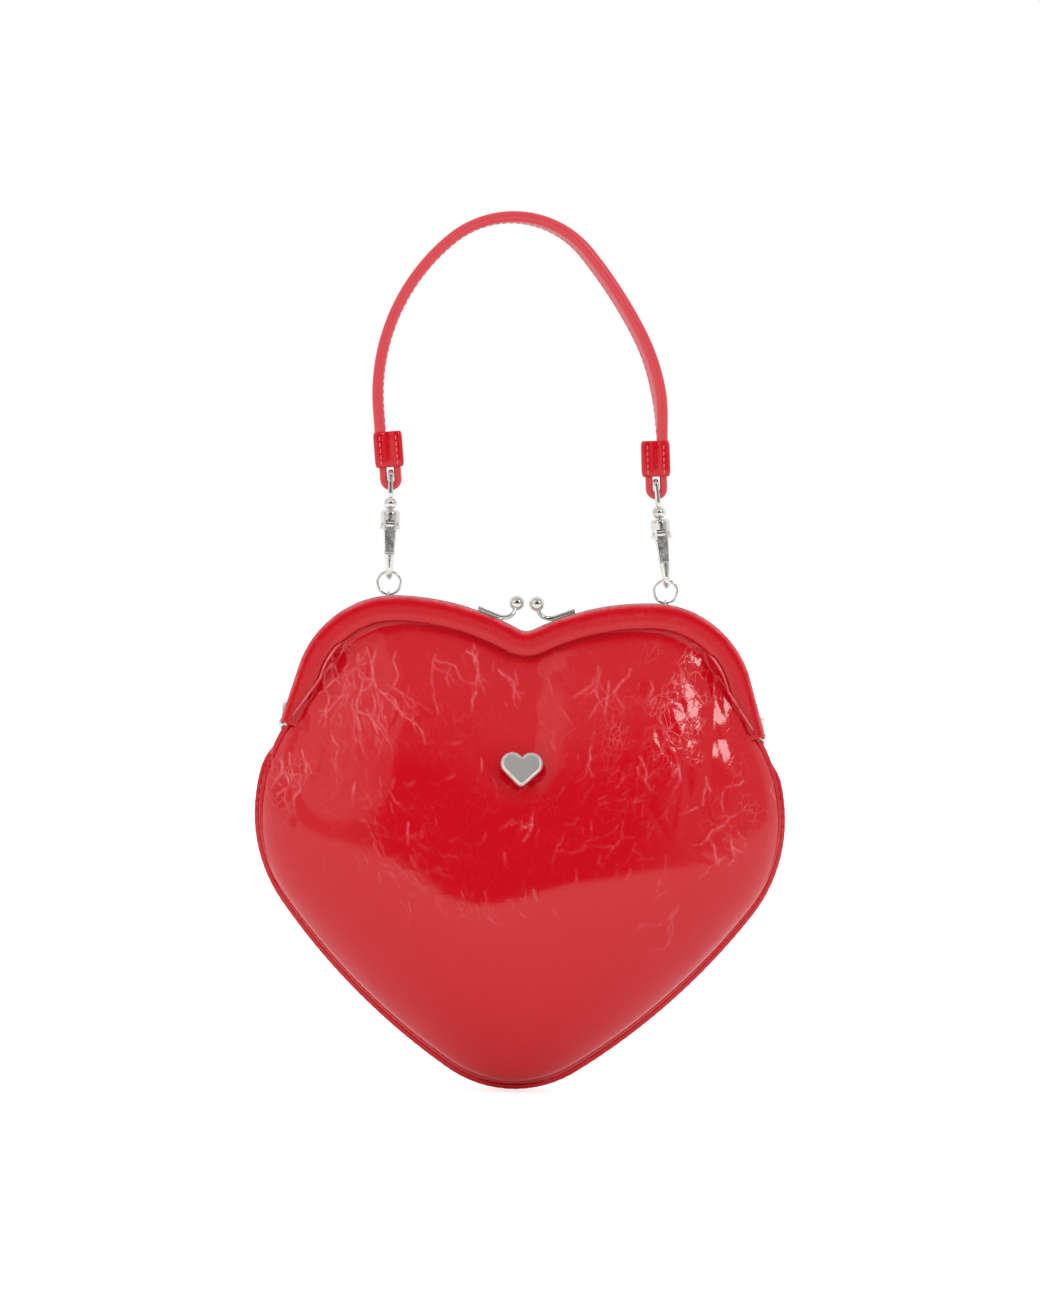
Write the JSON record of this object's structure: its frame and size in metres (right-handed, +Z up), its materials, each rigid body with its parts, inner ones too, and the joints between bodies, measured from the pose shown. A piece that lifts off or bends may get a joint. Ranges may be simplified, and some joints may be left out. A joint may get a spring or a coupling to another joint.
{
  "type": "heart shaped purse",
  "caption": "Heart shaped patent leather purse with a hinged frame, ball clasp, piped seam and a short arched handle hung from snap hooks on wire rings.",
  "frame": {"origin": "underside of the handle over the middle of the purse, where it is carried", "axes": "X across the purse, -Y out of its front, +Z up along the handle"},
  "size_m": [0.19, 0.071, 0.314],
  "materials": {
    "red_leather": "glossy crinkled patent",
    "polished_nickel": "polished",
    "lining_cloth": "plain woven",
    "paper_cord": "twisted paper"
  },
  "bodies": {
    "handle": {"handle_strap": "red_leather", "left_keeper": "red_leather", "right_keeper": "red_leather", "left_swivel_eye": "polished_nickel", "right_swivel_eye": "polished_nickel"},
    "left_clip": {"left_hook": "polished_nickel", "left_gate_pin": "polished_nickel", "left_gate_spring": "polished_nickel"},
    "left_latch": {"left_gate": "polished_nickel"},
    "right_clip": {"right_hook": "polished_nickel", "right_gate_pin": "polished_nickel", "right_gate_spring": "polished_nickel"},
    "right_latch": {"right_gate": "polished_nickel"},
    "rings": {"left_ring": "polished_nickel", "right_ring": "polished_nickel"},
    "bag": {"back_frame": "polished_nickel", "back_frame_facing": "red_leather", "back_frame_cord": "paper_cord", "left_hinge_rivet": "polished_nickel", "right_hinge_rivet": "polished_nickel", "left_ring_staple": "polished_nickel", "right_ring_staple": "polished_nickel", "back_clasp_arm": "polished_nickel", "back_clasp_ball": "polished_nickel", "back_panel": "red_leather", "back_lining": "lining_cloth", "front_panel_lower": "red_leather", "front_lining_lower": "lining_cloth", "piping": "red_leather", "heart_stud": "polished_nickel", "stud_washer": "polished_nickel"},
    "front_half": {"front_frame": "polished_nickel", "front_frame_facing": "red_leather", "front_frame_cord": "paper_cord", "front_clasp_arm": "polished_nickel", "front_clasp_ball": "polished_nickel", "front_panel_upper": "red_leather", "front_lining_upper": "lining_cloth"}
  },
  "joints": [
    {"name": "ring_swing", "type": "hinge", "parent": "handle", "child": "rings", "pos_m": [0, 0, -0.12463], "axis": [1, 0, 0], "range_deg": [-45, 60]},
    {"name": "bag_swing", "type": "hinge", "parent": "rings", "child": "bag", "pos_m": [0, 0, -0.13283], "axis": [1, 0, 0], "range_deg": [-45, 60]},
    {"name": "frame_open", "type": "hinge", "parent": "bag", "child": "front_half", "pos_m": [0, -0.00185, -0.18008], "axis": [1, 0, 0], "range_deg": [0, 55]},
    {"name": "left_swivel", "type": "hinge", "parent": "handle", "child": "left_clip", "pos_m": [-0.0495, 0, -0.12463], "axis": [-0.014, 0, 0.9999], "range_deg": [-35, 35]},
    {"name": "left_gate_open", "type": "hinge", "parent": "left_clip", "child": "left_latch", "pos_m": [-0.04974, -0.0027, -0.10776], "axis": [0.9999, 0, 0.014], "range_deg": [0, 20], "stiffness_Nm_per_rad": 0.01, "springref_deg": -17.19, "deforming": ["left_gate_spring"]},
    {"name": "right_swivel", "type": "hinge", "parent": "handle", "child": "right_clip", "pos_m": [0.0495, 0, -0.12463], "axis": [-0.1373, 0, 0.9905], "range_deg": [-35, 35]},
    {"name": "right_gate_open", "type": "hinge", "parent": "right_clip", "child": "right_latch", "pos_m": [0.04718, -0.0027, -0.10791], "axis": [0.9905, 0, 0.1373], "range_deg": [0, 20], "stiffness_Nm_per_rad": 0.01, "springref_deg": -17.19, "deforming": ["right_gate_spring"]}
  ]
}
